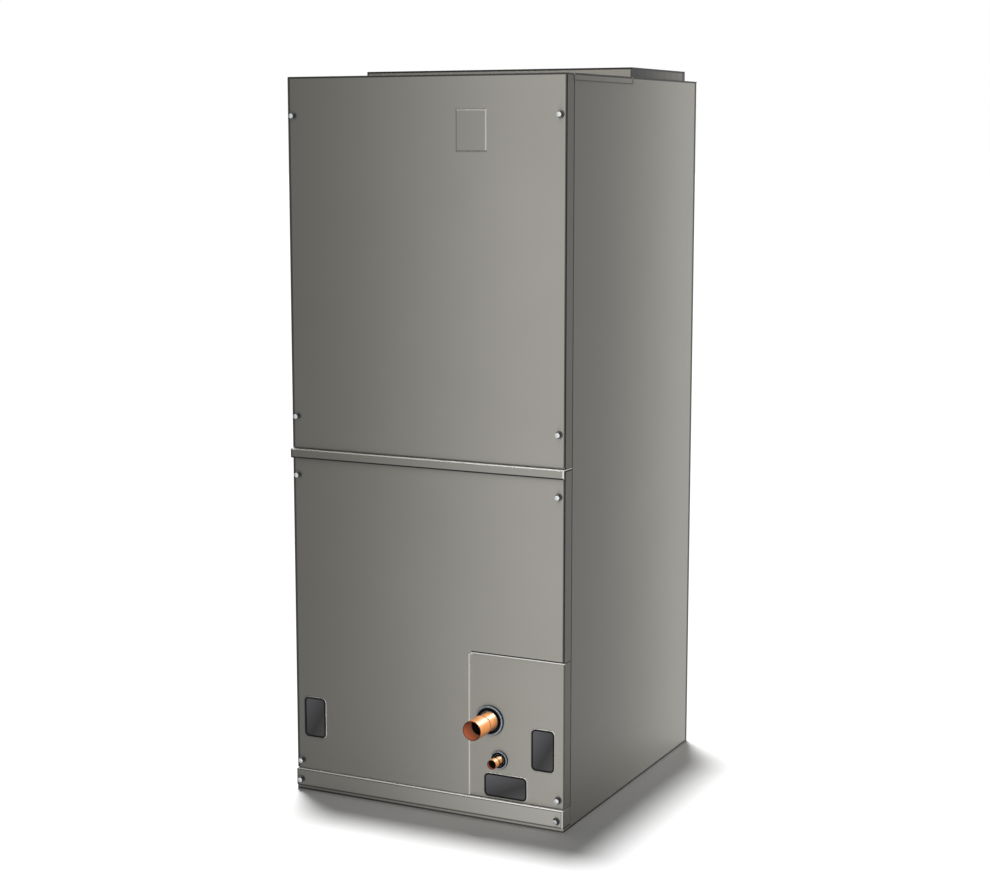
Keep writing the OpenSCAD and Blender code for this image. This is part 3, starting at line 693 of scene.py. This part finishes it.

# %% [markdown]
# ## Supply collar
# The collar is the flange that a duct slides over. Its sides get painted shade that is paler towards the
# rear, and painted shade lines run along its corners and rim. A smooth ramp in the material would have to
# know the collar's place, so the copy is divided into narrow strips instead, each a step paler than the one
# before.

# %% Collar
# Tones of painted shade for the side strips, the rear strip, the corners and the rim.
side_strips, front_shade, shade_step = 8, -0.92, 0.06
rear_shade, corner_shade, rim_shade = -0.9, -0.8, -0.95
low, high = box_mm("supply_collar")
rim_line, corner_line, rear_line = high.z - edge_strip, high.x - edge_strip, high.y - rear_strip
strip_starts = [low.y + (high.y - low.y) * number / side_strips for number in range(side_strips)]
piece = merged_copy("supply_collar")
cuts = [("z", rim_line), ("x", -corner_line), ("x", corner_line), ("y", rear_line)]
cut_line(piece, *cuts, *[("y", start) for start in strip_starts])
shaded = 0
for number, start in enumerate(strip_starts):
    strip_shade = shade_step * number + front_shade
    shaded += mark(piece, (strip_shade, lambda normal, centre: abs(normal.x) > flat and centre.y > start))
shaded += mark(
    piece,
    (rear_shade, lambda normal, centre: abs(normal.x) > flat and centre.y > rear_line),
    (corner_shade, lambda normal, centre: abs(normal.y) > flat and abs(centre.x) > corner_line),
    (rim_shade, lambda normal, centre: abs(normal.z) < 0.5 and centre.z > rim_line),
)
finish_piece(piece, coat, "supply_collar")
print("collar shaded faces:", shaded)

# %% [markdown]
# ## Front panels
# The trays on the front have a soft fold at their sides. It faces the gap to the next sheet,
# so it gets painted shade, like the top edge of the upper tray. The edges of the notch are bevelled,
# and its upright edge gets a pale painted highlight. Along the top of the plate in the notch
# lies a pale painted highlight too. All of this follows the edges, so each copy is divided
# a few mm beside them and the narrow strips get their own tones.

# %% Dark folds
low, high = box_mm("upper_front_panel")
half_width, front_y, seam_y = high.x, low.y, high.y
# Tones of painted shade: the side returns, the face beside the folds, and the folds.
gap_tone, left_tone, right_tone, fold_tone = -0.22, -0.68, -0.74, -1.0


def darken_folds(piece, left, right):
    """Darkens a tray's upright folds, the gaps beside it, and left and right mm of its face, with painted
    shade.
    """
    left_line, right_line = left - half_width, half_width - right
    cut_line(piece, ("x", left_line), ("x", right_line))
    return mark(
        piece,
        (gap_tone, lambda normal, centre: abs(normal.x) > 0.95 and abs(centre.x) > half_width - 1),
        (left_tone, lambda normal, centre: normal.y < -flat and centre.x < left_line),
        (right_tone, lambda normal, centre: normal.y < -flat and centre.x > right_line),
        (fold_tone, lambda normal, centre: 0.1 < abs(normal.x) < 0.97 and normal.y < -0.1),
    )


print("front face at y =", round(front_y, 1), "mm")

# %% Upper panel
left_fold, right_fold, top_radius = 5.0, 3.2, 1.2    # mm
# Painted shade along the top edge and along the foot above the rail.
foot_strip, painted_foot_shade = 1.6, -0.4
top_line, foot_line = high.z - edge_strip, low.z + foot_strip
piece = merged_copy("upper_front_panel")
rounded = round_edges(
    piece, top_radius, lambda edge, middle: middle.z > high.z - near and middle.y < seam_y - 1
)
cut_line(piece, ("z", top_line), ("z", foot_line))
shaded = darken_folds(piece, left_fold, right_fold)
shaded += mark(
    piece,
    (painted_edge_shade, lambda normal, centre: normal.z < 0.99 and centre.z > top_line),
    (painted_foot_shade, lambda normal, centre: normal.y < -flat and centre.z < foot_line),
)
finish_piece(piece, coat, "upper_front_panel")
print("upper panel edges rounded:", rounded, "shaded:", shaded)

# %% Edges of the lower panel
plate_flange, plate_step, notch_radius = 8.0, 3.0, 7.0    # mm: the plate in the notch, and its corner
notch_left = box_mm("line_panel")[0].x + plate_flange
notch_top = box_mm("line_panel")[1].z - plate_flange
plate_y = front_y + plate_step


def on_notch(edge, middle):
    """Outer edges of the notch for the line panel."""
    reach = notch_radius + 0.1
    on_front = middle.y < front_y + near
    left = on_front and abs(middle.x - notch_left) < near and middle.z < notch_top
    corner_x, corner_z = 0 < middle.x - notch_left < reach, 0 < notch_top - middle.z < reach
    past_corner = middle.x > notch_left + notch_radius - 1 and middle.y < seam_y - 1
    over = abs(middle.z - notch_top) < near and past_corner
    return edge.calc_face_angle() > sharp_fold and (left or (on_front and corner_x and corner_z) or over)


def on_rim(edge, rim_y):
    """True for the edges of a pressed rim, which stands proud of its sheet and ends at rim_y."""
    return max(1000 * v.co.y for v in edge.verts) < rim_y + 0.2 and edge.calc_face_angle() > sharp_fold


notch_bevel, rim_bevel = 1.1, 0.5    # mm
rim_y = box_mm("lower_front_panel")[0].y
lower_panel = merged_copy("lower_front_panel")
rounded = [
    round_edges(lower_panel, notch_bevel, on_notch),
    round_edges(lower_panel, rim_bevel, lambda edge, middle: on_rim(edge, rim_y)),
]
print("lower panel edges rounded:", rounded)

# %% Tones of the lower panel
highlight_strip, shade_strip = 1.0, 2.0     # mm of the face beside the notch, with painted highlight, and over it, with painted shade
highlight_end, corner_drop = 4.0, 3.0       # mm from the notch's edges to where the corner's painted highlight ends
# Painted highlight on the notch's upright edge and corner and on the rims' top and right flanks, painted
# shade over the notch.
notch_highlight, under_tone, rim_highlight = 0.62, -1.0, 1.0
cut_line(
    lower_panel, ("z", notch_top + shade_strip), ("z", notch_top - corner_drop),
    ("x", notch_left - highlight_strip), ("x", notch_left + highlight_end),
)


def on_upright(normal, centre):
    beside = notch_left - 2 * highlight_strip < centre.x < notch_left + highlight_end
    below = centre.z < notch_top - corner_drop and centre.y > front_y - 0.1
    return beside and below and (normal.x > 0.25 or centre.x > notch_left - highlight_strip)


def on_corner(normal, centre):
    beside = notch_left - 1 < centre.x < notch_left + notch_radius - 0.5
    level = notch_top - notch_radius - 1 < centre.z < notch_top + 1
    return normal.x > 0.15 and beside and level and centre.y < front_y + 1.2


def over_notch(normal, centre):
    above = -5 < centre.z - notch_top < shade_strip and centre.x > notch_left + highlight_end
    return normal.z < 0.25 and above and front_y - 0.1 < centre.y < plate_y


def rim_shine(normal, centre, sheet_y):
    """The top and right flanks of a pressed rim on a sheet at sheet_y, which get a painted highlight."""
    return centre.y < sheet_y - 0.3 and max(normal.x, normal.z) > 0.3


shaded = darken_folds(lower_panel, left_fold, right_fold)
edged = mark(
    lower_panel, (notch_highlight, on_upright), (notch_highlight, on_corner), (under_tone, over_notch),
    (rim_highlight, lambda normal, centre: rim_shine(normal, centre, front_y)),
)
finish_piece(lower_panel, coat, "lower_front_panel")
print("lower panel dark folds:", shaded, "toned edges:", edged)

# %% Line panel
highlight_band, corner_highlight_band, plate_fold = 2.5, 4.2, 2.6    # mm: painted highlight along the top, in the corner, and the dark fold
fold_radius, band_highlight = 1.2, 0.7
plate_rim_y = box_mm("line_panel")[0].y
piece = merged_copy("line_panel")
cut_line(piece, ("z", notch_top - highlight_band), ("z", notch_top - corner_highlight_band), ("x", notch_left + highlight_end))


def on_right_fold(edge, middle):
    on_edge = middle.x > half_width - near and middle.y < plate_y + near
    return on_edge and edge.calc_face_angle() > sharp_fold


def on_highlight_band(normal, centre):
    height = highlight_band if centre.x > notch_left + highlight_end else corner_highlight_band
    return normal.y < -flat and centre.z > notch_top - height


rounded = [
    round_edges(piece, fold_radius, on_right_fold),
    round_edges(piece, rim_bevel, lambda edge, middle: on_rim(edge, plate_rim_y)),
]
shaded = darken_folds(piece, 0, plate_fold)
# Painted highlights along the top of the plate and on the rims' top and right flanks.
tone_up = mark(
    piece, (band_highlight, on_highlight_band), (rim_highlight, lambda normal, centre: rim_shine(normal, centre, plate_y))
)
finish_piece(piece, coat, "line_panel")
print("line panel edges rounded:", rounded, "rubbed:", tone_up, "shaded:", shaded)

# %% [markdown]
# ## Centre rail and filter door
# The rail is folded from heavier sheet and stands proud between the two trays. Its top fold and its
# cut ends get the palest painted highlights of the unit, and painted shade lies under its lip.
# The filter door at the foot gets a painted highlight along its top edge, and lines of painted shade.
# Both keep the shape that the CAD gave them, and strips of tone draw their edges.

# %% Rail
lip_foot_strip, left_strip, right_strip = 2.2, 3.0, 2.2    # mm
# Painted highlights on the top fold, the cut ends and the lip's right end, painted shade under the lip and at
# its left end, and the lip's face a touch darker.
rail_top_highlight, rail_end_highlight, lip_end_highlight = 0.8, 1.0, 0.55
face_tone, lip_foot_tone, left_end_tone = -0.06, -1.0, -0.7
low, high = box_mm("centre_rail")
piece = merged_copy("centre_rail")
lip_foot = min(1000 * v.co.z for v in piece.data.vertices if 1000 * v.co.y < low.y + 0.1)
lip_line, left_line, right_line = lip_foot + lip_foot_strip, low.x + left_strip, high.x - right_strip
cut_line(piece, ("z", lip_line), ("x", left_line), ("x", right_line))


def on_lip(normal, centre):
    """The front of the rail, with its lip."""
    return normal.y < -0.5 and centre.y < front_y


toned = mark(
    piece,
    (rail_top_highlight, lambda normal, centre: normal.z > 0.3 and centre.y < front_y + 1),
    (rail_end_highlight, lambda normal, centre: normal.x > 0.6),
    (face_tone, lambda normal, centre: normal.y < -flat and centre.y < front_y),
    (lip_end_highlight, lambda normal, centre: on_lip(normal, centre) and centre.x > right_line),
    (lip_foot_tone, lambda normal, centre: on_lip(normal, centre) and centre.z < lip_line),
    (left_end_tone, lambda normal, centre: on_lip(normal, centre) and centre.x < left_line),
)
finish_piece(piece, coat, "centre_rail")
print("rail toned faces:", toned)

# %% Lines of the filter door
low, high = box_mm("filter_door")
door_y = low.y
highlight_top_line, shade_top_line, foot_line = high.z - 1.1, high.z - 2.6, low.z + 1.6
left_line, gap_line, end_line = low.x + 2.4, high.x - 3.4, high.x - 1.7
door = merged_copy("filter_door")
cut_line(
    door, ("z", highlight_top_line), ("z", shade_top_line), ("z", foot_line), ("y", front_y),
    ("x", gap_line), ("x", end_line), ("x", left_line),
)
print("door faces:", len(door.data.polygons))

# %% Tones of the filter door
# Painted light on the door: the face a little lighter, painted shade lines at its foot, left end and beside
# the right end, and painted highlights on the right end and the top edge.
door_face, door_shade_lines, door_left, door_gap, door_end, door_top = 0.07, -0.6, -0.9, -0.4, 0.5, 1.0


def on_shade_lines(normal, centre):
    """Painted shade lines along the foot of the door's face and under its top edge."""
    return normal.y < -flat and (centre.z < foot_line or centre.z > shade_top_line)


def on_gap(normal, centre):
    """The painted shade line beside the right end's painted highlight."""
    return normal.y < -flat and gap_line < centre.x < end_line and centre.z < highlight_top_line


toned = mark(
    door,
    (door_face, lambda normal, centre: normal.y < -flat),
    (door_shade_lines, lambda normal, centre: 0.2 < abs(normal.x) < flat and centre.y < front_y),
    (door_shade_lines, on_shade_lines),
    (door_left, lambda normal, centre: normal.y < -0.1 and centre.x < left_line),
    (door_gap, on_gap),
    (door_end, lambda normal, centre: abs(normal.x) < flat and centre.x > end_line and centre.y < front_y),
    (door_top, lambda normal, centre: centre.z > highlight_top_line and centre.y < front_y and normal.y < 0.5),
)
finish_piece(door, coat, "filter_door")
print("door toned faces:", toned)

# %% [markdown]
# ## Breaker cover
# A small plate snaps over the cut-out for a circuit breaker. Its edges are bevelled, and a narrow
# line inside them gets a painted highlight on the top and right and painted shade on the left and below.
# It is the same coat as the panel, so these lines alone make the plate read as a thin raised frame.

# %% Breaker cover
plate_bevel, frame_line = 0.4, 2.0    # mm
# The whole plate a little darker, painted shade at the foot and left, and painted highlight at top and right.
plate_tone, plate_foot_shade, plate_left_shade, plate_highlight = -0.05, -0.38, -0.5, 0.28
low, high = box_mm("breaker_cover")
left_line, right_line, foot_line, top_line = (
    low.x + frame_line, high.x - frame_line, low.z + frame_line, high.z - frame_line
)
piece = merged_copy("breaker_cover")
rounded = round_edges(
    piece, plate_bevel, lambda edge, middle: edge.calc_face_angle() > math.radians(30), segments=2
)
cut_line(piece, ("x", left_line), ("x", right_line), ("z", foot_line), ("z", top_line))
toned = mark(
    piece,
    (plate_tone, lambda normal, centre: True),
    (plate_foot_shade, lambda normal, centre: centre.z < foot_line),
    (plate_left_shade, lambda normal, centre: centre.x < left_line),
    (plate_highlight, lambda normal, centre: centre.z > top_line and centre.x > left_line),
    (plate_highlight, lambda normal, centre: centre.x > right_line and centre.z > foot_line),
)
finish_piece(piece, coat, "breaker_cover")
print("breaker cover edges rounded:", rounded, "toned faces:", toned)

# %% [markdown]
# ## Drain covers and their bezels
# A moulded cover has round edges all along its face.
# The left one is painted lighter and the others a little darker, as painted light.
# Around each cover lies a narrow black bezel that clips over the pressed rim. A curve with a round
# section could make it, but its flat back would be lost. So the bezel starts as a flat plate:
# its corners are rounded, an inset leaves a ring, Solidify gives the ring its height,
# and a bevel softens its front edges.

# %% Covers
cover_bevel = 0.8    # mm
# Each cover's tone lifts or lowers its colour as painted light.
for node, painted_light_gain in (("left_drain_cover", 0.43), ("right_drain_cover", -0.24), ("low_drain_cover", -0.12)):
    piece = merged_copy(node)
    low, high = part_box(node)
    rounded = round_edges(
        piece, cover_bevel,
        lambda edge, middle: middle.y < 1000 * low.y + near and edge.calc_face_angle() > sharp_fold,
    )
    mark(piece, (painted_light_gain, lambda normal, centre: True))
    sheen_way = piece.data.attributes.new("sheen_way", "FLOAT", "POINT")
    for vertex in piece.data.vertices:
        across = (vertex.co.x - low.x) / (high.x - low.x)
        down = (high.z - vertex.co.z) / (high.z - low.z)
        sheen_way.data[vertex.index].value = (across + down) / 2
    finish_piece(piece, plastic, node)
    print(node, "edges rounded:", rounded)

# %% Bezels
bezel_in, bezel_out, bezel_rise, bezel_seat = 0.0011, 0.0014, 0.0021, 0.0012    # metres from the cover's face
cover_corner, bezel_bevel = 0.0062, 0.5    # metres, and mm for the bevel
for node in ("left_drain_cover", "right_drain_cover", "low_drain_cover"):
    low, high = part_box(node)
    back_y = low.y + bezel_seat
    front_edge = 1000 * (back_y - bezel_rise) + 0.01
    bpy.ops.object.select_all(action="DESELECT")
    bpy.ops.mesh.primitive_plane_add(
        size=1, location=((low.x + high.x) / 2, back_y, (low.z + high.z) / 2),
        rotation=(math.radians(90), 0, 0),
    )
    bezel = bpy.context.object
    bezel.name = node.replace("cover", "bezel")
    bezel.scale = (high.x - low.x + 2 * bezel_out, high.z - low.z + 2 * bezel_out, 1)
    bpy.ops.object.transform_apply(location=True, rotation=True, scale=True)
    bpy.ops.object.mode_set(mode="EDIT")
    bpy.ops.mesh.select_all(action="SELECT")
    bpy.ops.mesh.bevel(offset=cover_corner + bezel_out, segments=8, affect="VERTICES")
    bpy.ops.mesh.inset(thickness=bezel_in + bezel_out)
    bpy.ops.mesh.delete(type="FACE")
    bpy.ops.object.mode_set(mode="OBJECT")
    bpy.ops.object.modifier_add(type="SOLIDIFY")
    bezel.modifiers[-1].thickness = bezel_rise
    bezel.modifiers[-1].offset = 1
    bpy.ops.object.modifier_apply(modifier=bezel.modifiers[-1].name)
    rounded = round_edges(
        bezel, bezel_bevel,
        lambda edge, middle: max(1000 * v.co.y for v in edge.verts) < front_edge, segments=2,
    )
    finish_piece(bezel, black_plastic)
    print(bezel.name, [round(1000 * v, 1) for v in bezel.dimensions], "edges rounded:", rounded)

# %% [markdown]
# ## Grommets and stubs
# These are turned shapes. The CAD model has their true curves, so they need only smooth shading,
# and the stubs a small break on their sharp rings. The grommet's beads get painted highlights, a colour
# by the distance from a middle that lies a little to the left, because the lit side of the rubber looks
# wider.
# The stub's mesh is cut across where the painted shade in the socket steps darker, at the ring and where the
# oxide ends.

# %% Grommets
bead_shift = 0.03    # of the outer radius
for node in ("suction_grommet", "liquid_grommet"):
    piece = merged_copy(node)
    low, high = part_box(node)
    middle_x, middle_z, outer = (low.x + high.x) / 2, (low.z + high.z) / 2, (high.x - low.x) / 2
    distance = piece.data.attributes.new("tone", "FLOAT", "POINT")
    for vertex in piece.data.vertices:
        sideways = vertex.co.x - middle_x + bead_shift * outer
        distance.data[vertex.index].value = math.hypot(sideways, vertex.co.z - middle_z) / outer
    finish_piece(piece, rubber, node)
    print(node, "outer diameter", round(2000 * outer, 1))

# %% Stubs
# Painted shade darkens the oxide in steps towards the bore, by up to this much tone.
depth_shade_steps, depth_shade_end = 6, 0.75
ring_before, ring_after = 2.8, 2.2    # mm of the painted shade ring where the socket is swaged out
ring_break = 0.3                      # mm


def inner_wall(normal, centre, axis):
    """True on faces that look towards a tube's axis, which runs along Y."""
    return normal.x * (centre.x - axis.x) + normal.z * (centre.z - axis.z) < -0.1


# How deep the oxide and the ring lie behind the tip in mm, and the ring's tone
stub_marks = (("suction_stub", 27, 35, 1.35), ("liquid_stub", 4, 14, -1.0))
for node, oxide_depth, ring_depth, ring_tone in stub_marks:
    piece = merged_copy(node)
    low, high = box_mm(node)
    axis, tip, oxide_end = (low + high) / 2, low.y, low.y + oxide_depth
    ring_start, ring_end = tip + ring_depth - ring_before, tip + ring_depth + ring_after
    steps = [oxide_depth * number / depth_shade_steps for number in range(depth_shade_steps)]
    rounded = round_edges(
        piece, ring_break, lambda edge, middle: edge.calc_face_angle() > math.radians(60), segments=2
    )
    cuts = [ring_start, ring_end] + [tip + step for step in steps[1:]] + [oxide_end]
    cut_line(piece, *[("y", cut) for cut in cuts])
    mark(piece, (1.0, lambda normal, centre: normal.y < -0.5 and centre.y < tip + 1))
    for step in steps:
        start, shaded_depth = tip + step, 1 + depth_shade_end * step / oxide_depth
        mark(piece, (shaded_depth, lambda normal, centre: inner_wall(normal, centre, axis) and centre.y > start))
    # Beyond the oxide the bore is painted black, as shade.
    deep = mark(piece, (
        -1.0,
        lambda normal, centre: centre.y > oxide_end and (inner_wall(normal, centre, axis) or normal.y < -0.5),
    ))
    # The ring is a painted shade line where the socket is swaged out.
    ring = mark(piece, (
        ring_tone,
        lambda normal, centre: ring_start < centre.y < ring_end and not inner_wall(normal, centre, axis),
    ))
    finish_piece(piece, copper, node)
    print(node, "rings rounded:", rounded, "dark faces:", deep, "ring faces:", ring)

# %% [markdown]
# ## Inside the collar and under the base
# Looking down the collar shows the foil lining, the deck and the blower. Looking up from below
# shows the filter. They could get bevels too, but nobody comes near them, so they stay as the CAD
# made them, with smooth shading where they are round. Only the cut edge of the lining is marked.

# %% Inner pieces
zinc_pieces = (
    "plenum_bulkhead", "blower_deck", "blower_scroll", "blower_left_cheek", "blower_right_cheek",
    "blower_wheel", "motor_bracket",
)
inner_pieces = (
    (zinc_sheet, "galvanised_steel", zinc_pieces),
    (enamel, "motor_paint", ("blower_motor",)),
    (foil, "foil_facing", ("left_liner", "right_liner", "back_liner")),
    (card, "filter_card", ("filter_border",)),
    (cloth, "filter_medium", ("filter_medium",)),
)
for material, slot, names in inner_pieces:
    for node in names:
        piece = merged_copy(node)
        if material == foil:
            mark(piece, (1.0, lambda normal, centre: abs(normal.z) > flat))
        finish_piece(piece, material, node)
    print(material.name, "on", len(names))

# %% [markdown]
# ## Screws
# Ten hex washer head screws hold the front. A bought screw could come from a library of parts,
# but at this size a few operators are enough. One is made by hand: a round washer with a soft edge,
# and a hexagon on it with a bevelled top and a shallow dish. Ten copies of its mesh go to their seats.

# %% Washer and hexagon
washer_r, washer_t = 0.0060, 0.0014              # metres
head_r, head_l, head_sink = 0.0041, 0.0062, 0.0002
screw_bevel = 0.5                                # mm
head_top = washer_t - head_sink + head_l


def add_round(sides, radius, length, front, roll=0):
    """A cylinder along Y whose front face is front metres out from the sheet, rolled by degrees."""
    bpy.ops.object.select_all(action="DESELECT")
    bpy.ops.mesh.primitive_cylinder_add(
        vertices=sides, radius=radius, depth=length, location=(0, length / 2 - front, 0),
        rotation=(math.radians(90), math.radians(roll), 0),
    )
    bpy.ops.object.transform_apply(location=True, rotation=True, scale=True)
    return bpy.context.object


washer = add_round(40, washer_r, washer_t, washer_t)
round_edges(
    washer, screw_bevel,
    lambda edge, middle: middle.y < 0.1 - 1000 * washer_t and edge.calc_face_angle() > sharp_fold, segments=2,
)
screw = add_round(6, head_r, head_l, head_top, roll=15)
round_edges(screw, screw_bevel, lambda edge, middle: middle.y < 0.1 - 1000 * head_top, segments=2)
print("head", round(1000 * head_top, 1), "mm high")

# %% Dish and painted shade
dish_rim, dish_depth = 0.0009, 0.0007    # metres
flank_shade, shade_reach = -0.85, 2.0         # painted shade covers the flanks, and faces within this many mm of the sheet
only(screw)
bpy.ops.object.mode_set(mode="EDIT")
bpy.ops.mesh.select_mode(type="FACE")
bpy.ops.mesh.select_all(action="DESELECT")
shape = bmesh.from_edit_mesh(screw.data)
for face in shape.faces:
    face.select_set(face.normal.y < -0.99)
bmesh.update_edit_mesh(screw.data)
bpy.ops.mesh.inset(thickness=dish_rim)
bpy.ops.mesh.extrude_region_move(TRANSFORM_OT_translate={"value": (0, dish_depth, 0)})
bpy.ops.object.mode_set(mode="OBJECT")
washer.select_set(True)
bpy.ops.object.join()
dark = mark(screw, (flank_shade, lambda normal, centre: normal.y > -0.3 or centre.y > -shade_reach))
print("screw size", [round(1000 * v, 1) for v in screw.dimensions], "dark faces:", dark)

# %% Ten screws
screw_x = half_width - 10.4
# Height of each row in mm, and the faces that its left and right screws sit on
screw_rows = (
    (1099.5, front_y, front_y), (623.5, front_y, front_y), (528, front_y, front_y),
    (50.5, front_y, plate_y), (18.5, door_y, door_y),
)
seats = []
for height, left_seat, right_seat in screw_rows:
    seats += [(-screw_x, left_seat, height), (screw_x, right_seat, height)]
master = screw.data
bpy.data.objects.remove(screw)
for number, seat in enumerate(seats, 1):
    screw = bpy.data.objects.new("screw_%02d" % number, master.copy())
    bpy.context.scene.collection.objects.link(screw)
    screw.location = Vector(seat) / 1000
    only(screw)
    bpy.ops.object.transform_apply(location=True, rotation=True, scale=True)
    finish_piece(screw, zinc_plate, smooth=30)
print("screws:", len(seats))

# %% [markdown]
# ## Size of the dressed model
# The dressed model must keep the size of the CAD model, so its box is printed.

# %% Sizes and finish
low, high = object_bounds()
print("visual box in mm:", [round(1000 * v, 1) for v in high - low])
